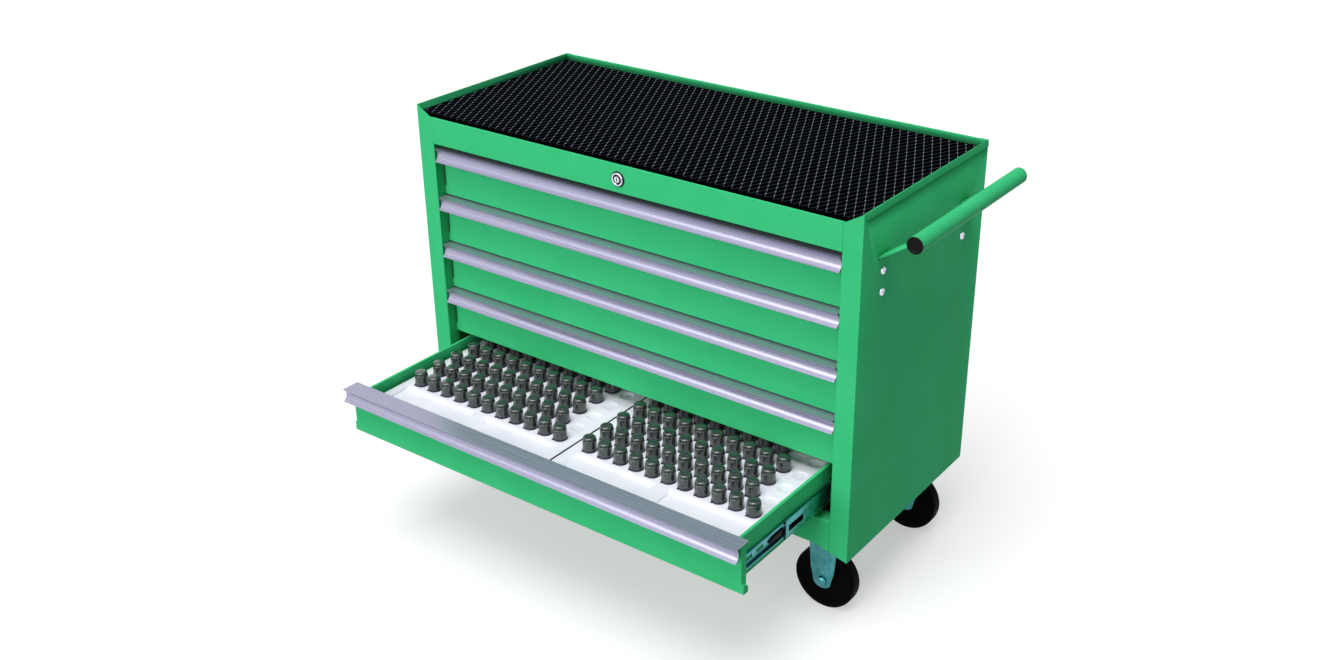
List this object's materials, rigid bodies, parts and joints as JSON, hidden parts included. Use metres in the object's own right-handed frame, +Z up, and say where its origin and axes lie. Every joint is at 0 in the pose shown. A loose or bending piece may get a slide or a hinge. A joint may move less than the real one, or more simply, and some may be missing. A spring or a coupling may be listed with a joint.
{
  "type": "gauge storage case",
  "caption": "Rolling steel drawer cabinet for gauges, with ball-bearing drawers, formed trays of jars, a top tray with a rubber mat, a push handle and casters.",
  "frame": {"origin": "on the floor, under the middle of the whole part's box with its lowest drawer pulled out as in the picture", "axes": "+X to the right seen from the drawer side, +Y to the back, +Z up; the drawers open towards -Y"},
  "size_m": [1.111, 0.7578, 0.8378],
  "materials": {
    "green_enamel": "gloss",
    "aluminium_pull": "satin",
    "zinc_plate": "satin",
    "black_rubber": "matte",
    "wheel_rubber": "matte",
    "white_tray": "satin",
    "jar_plastic": "gloss",
    "lock_chrome": "gloss",
    "black_plastic": "satin"
  },
  "bodies": {
    "case": {"left_side_panel": "green_enamel", "right_side_panel": "green_enamel", "back_panel": "green_enamel", "top_panel": "green_enamel", "bottom_rail": "green_enamel", "base_pan": "green_enamel", "rubber_mat": "black_rubber", "slide_uprights": "green_enamel", "case_slides": "zinc_plate", "lock_barrel": "lock_chrome", "lock_nut": "zinc_plate", "handle_arms": "green_enamel", "handle_tube": "green_enamel", "handle_end_caps": "black_plastic", "handle_bolts": "zinc_plate", "front_right_bracket": "zinc_plate", "rear_right_bracket": "zinc_plate", "front_right_axle": "zinc_plate", "rear_right_axle": "zinc_plate", "front_left_swivel_plate": "zinc_plate", "rear_left_swivel_plate": "zinc_plate", "caster_bolts": "zinc_plate"},
    "drawer_1": {"drawer_1_front": "green_enamel", "drawer_1_pull": "aluminium_pull", "drawer_1_box": "green_enamel", "drawer_1_inner_slides": "zinc_plate"},
    "drawer_1_middle": {"drawer_1_middle_slides": "zinc_plate"},
    "drawer_2": {"drawer_2_front": "green_enamel", "drawer_2_pull": "aluminium_pull", "drawer_2_box": "green_enamel", "drawer_2_inner_slides": "zinc_plate"},
    "drawer_2_middle": {"drawer_2_middle_slides": "zinc_plate"},
    "drawer_3": {"drawer_3_front": "green_enamel", "drawer_3_pull": "aluminium_pull", "drawer_3_box": "green_enamel", "drawer_3_inner_slides": "zinc_plate"},
    "drawer_3_middle": {"drawer_3_middle_slides": "zinc_plate"},
    "drawer_4": {"drawer_4_front": "green_enamel", "drawer_4_pull": "aluminium_pull", "drawer_4_box": "green_enamel", "drawer_4_inner_slides": "zinc_plate"},
    "drawer_4_middle": {"drawer_4_middle_slides": "zinc_plate"},
    "drawer_5": {"drawer_5_front": "green_enamel", "drawer_5_pull": "aluminium_pull", "drawer_5_box": "green_enamel", "drawer_5_inner_slides": "zinc_plate", "gauge_trays": "white_tray", "gauge_jars": "jar_plastic"},
    "drawer_5_middle": {"drawer_5_middle_slides": "zinc_plate"},
    "lock_core": {"lock_core": "lock_chrome"},
    "lock_bar": {"lock_bar": "zinc_plate"},
    "front_left_swivel": {"front_left_fork": "zinc_plate", "front_left_axle": "zinc_plate"},
    "front_left_wheel": {"front_left_wheel": "wheel_rubber"},
    "front_right_wheel": {"front_right_wheel": "wheel_rubber"},
    "rear_left_swivel": {"rear_left_fork": "zinc_plate", "rear_left_axle": "zinc_plate"},
    "rear_left_wheel": {"rear_left_wheel": "wheel_rubber"},
    "rear_right_wheel": {"rear_right_wheel": "wheel_rubber"}
  },
  "joints": [
    {"name": "drawer_1_slide", "type": "slide", "parent": "case", "child": "drawer_1", "axis": [0, -1, 0], "range_m": [0, 0.4]},
    {"name": "drawer_1_middle_slide", "type": "slide", "parent": "case", "child": "drawer_1_middle", "axis": [0, -1, 0], "range_m": [0, 0.2]},
    {"name": "drawer_2_slide", "type": "slide", "parent": "case", "child": "drawer_2", "axis": [0, -1, 0], "range_m": [0, 0.4]},
    {"name": "drawer_2_middle_slide", "type": "slide", "parent": "case", "child": "drawer_2_middle", "axis": [0, -1, 0], "range_m": [0, 0.2]},
    {"name": "drawer_3_slide", "type": "slide", "parent": "case", "child": "drawer_3", "axis": [0, -1, 0], "range_m": [0, 0.4]},
    {"name": "drawer_3_middle_slide", "type": "slide", "parent": "case", "child": "drawer_3_middle", "axis": [0, -1, 0], "range_m": [0, 0.2]},
    {"name": "drawer_4_slide", "type": "slide", "parent": "case", "child": "drawer_4", "axis": [0, -1, 0], "range_m": [0, 0.4]},
    {"name": "drawer_4_middle_slide", "type": "slide", "parent": "case", "child": "drawer_4_middle", "axis": [0, -1, 0], "range_m": [0, 0.2]},
    {"name": "drawer_5_slide", "type": "slide", "parent": "case", "child": "drawer_5", "axis": [0, -1, 0], "range_m": [-0.296, 0.104]},
    {"name": "drawer_5_middle_slide", "type": "slide", "parent": "case", "child": "drawer_5_middle", "axis": [0, -1, 0], "range_m": [-0.148, 0.052]},
    {"name": "lock_bar_slide", "type": "slide", "parent": "case", "child": "lock_bar", "axis": [0, 0, -1], "range_m": [0, 0.008]},
    {"name": "lock_turn", "type": "hinge", "parent": "case", "child": "lock_core", "pos_m": [-0.0475, -0.07915, 0.7891], "axis": [0, 1, 0], "range_deg": [0, 90]},
    {"name": "front_left_swivel_turn", "type": "hinge", "parent": "case", "child": "front_left_swivel", "pos_m": [-0.4805, -0.01345, 0.1588], "axis": [0, 0, 1], "continuous": true},
    {"name": "front_left_wheel_roll", "type": "hinge", "parent": "front_left_swivel", "child": "front_left_wheel", "pos_m": [-0.4485, -0.01345, 0.0635], "axis": [0, 1, 0], "continuous": true},
    {"name": "front_right_wheel_roll", "type": "hinge", "parent": "case", "child": "front_right_wheel", "pos_m": [0.3855, -0.01345, 0.0635], "axis": [0, 1, 0], "continuous": true},
    {"name": "rear_left_swivel_turn", "type": "hinge", "parent": "case", "child": "rear_left_swivel", "pos_m": [-0.4805, 0.31335, 0.1588], "axis": [0, 0, 1], "continuous": true},
    {"name": "rear_left_wheel_roll", "type": "hinge", "parent": "rear_left_swivel", "child": "rear_left_wheel", "pos_m": [-0.4485, 0.31335, 0.0635], "axis": [0, 1, 0], "continuous": true},
    {"name": "rear_right_wheel_roll", "type": "hinge", "parent": "case", "child": "rear_right_wheel", "pos_m": [0.3855, 0.31335, 0.0635], "axis": [0, 1, 0], "continuous": true}
  ],
  "couplings": [
    {"joint": "drawer_1_middle_slide", "follows": "drawer_1_slide", "ratio": 0.5},
    {"joint": "drawer_2_middle_slide", "follows": "drawer_2_slide", "ratio": 0.5},
    {"joint": "drawer_3_middle_slide", "follows": "drawer_3_slide", "ratio": 0.5},
    {"joint": "drawer_4_middle_slide", "follows": "drawer_4_slide", "ratio": 0.5},
    {"joint": "drawer_5_middle_slide", "follows": "drawer_5_slide", "ratio": 0.5},
    {"joint": "lock_turn", "follows": "lock_bar_slide", "rad_per_m": 196.35}
  ]
}
